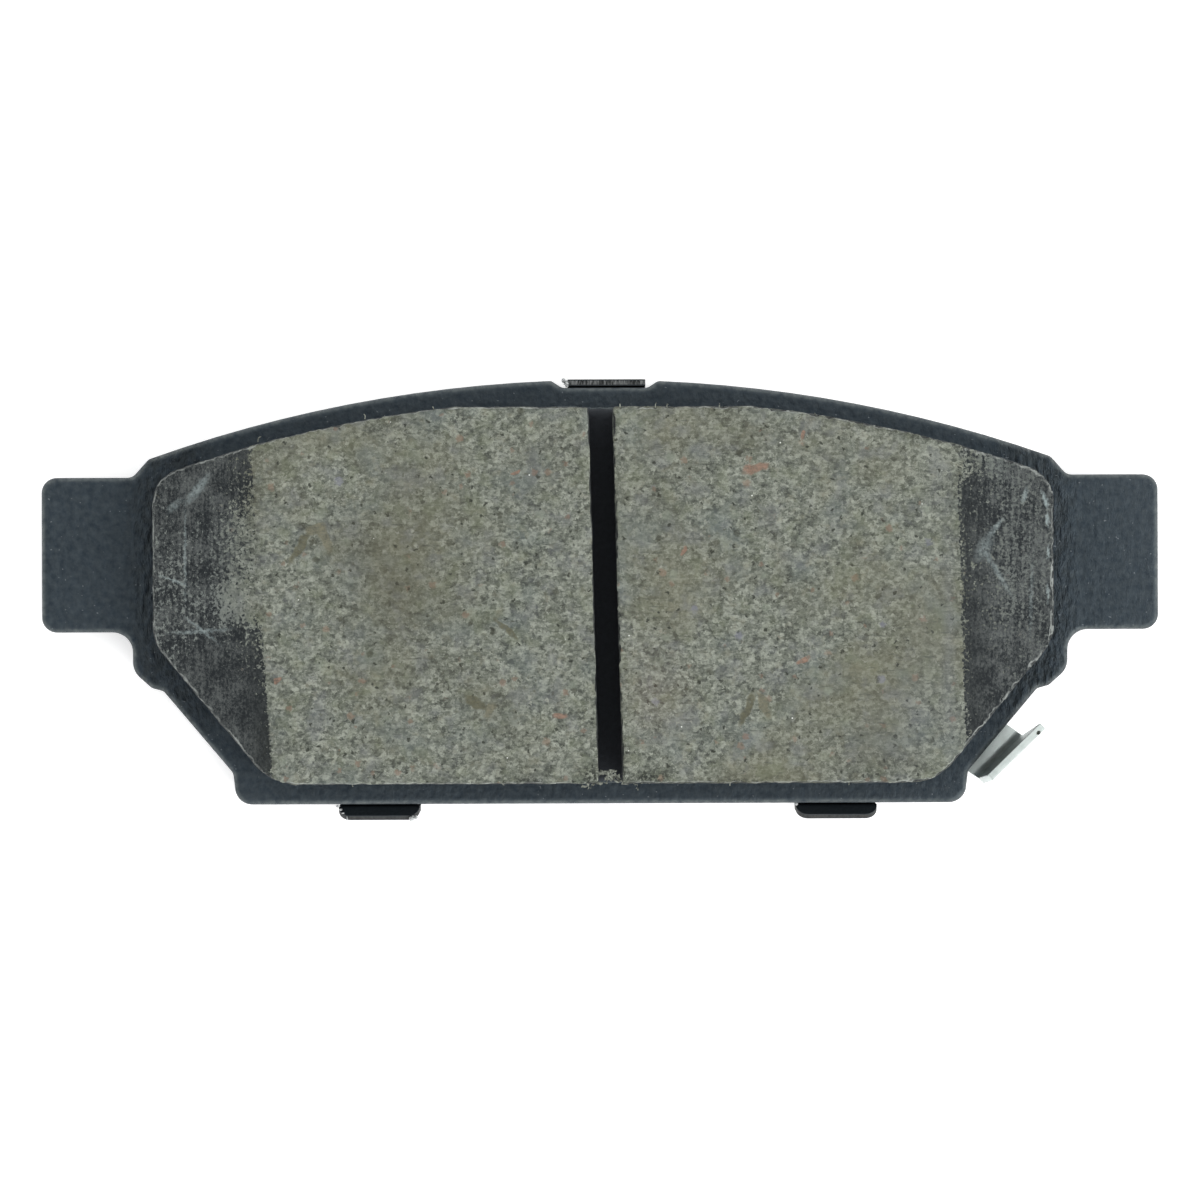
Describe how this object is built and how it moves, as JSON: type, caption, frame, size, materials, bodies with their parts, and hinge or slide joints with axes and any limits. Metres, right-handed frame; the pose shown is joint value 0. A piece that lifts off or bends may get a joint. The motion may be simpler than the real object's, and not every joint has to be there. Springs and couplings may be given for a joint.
{
  "type": "disc brake pad",
  "caption": "Disc brake pad: eared steel backing plate with a slotted friction lining, a clip-on rubber-coated noise shim and a riveted spring-steel wear indicator.",
  "frame": {"origin": "on the caliper piston's axis, at the outer face of the shim, which the piston presses on", "axes": "+X along the pad between its ears, +Y away from the wheel's axle, +Z from the piston towards the rotor"},
  "size_m": [0.11, 0.0434, 0.0151],
  "materials": {
    "plate_powder_coat": "satin",
    "bonding_resin": "matte",
    "underlayer_compound": "matte",
    "friction_compound": "matte",
    "shim_steel": "satin",
    "shim_rubber": "matte",
    "plated_spring_steel": "satin",
    "rivet_steel": "satin"
  },
  "bodies": {
    "root": {"backing_plate": "plate_powder_coat", "bond_film": "bonding_resin", "underlayer": "underlayer_compound", "friction_block_left": "friction_compound", "friction_block_right": "friction_compound", "shim_sheet": "shim_steel", "shim_rubber_inner": "shim_rubber", "shim_rubber_outer": "shim_rubber", "wear_indicator": "plated_spring_steel", "wear_indicator_rivet": "rivet_steel"}
  },
  "joints": []
}
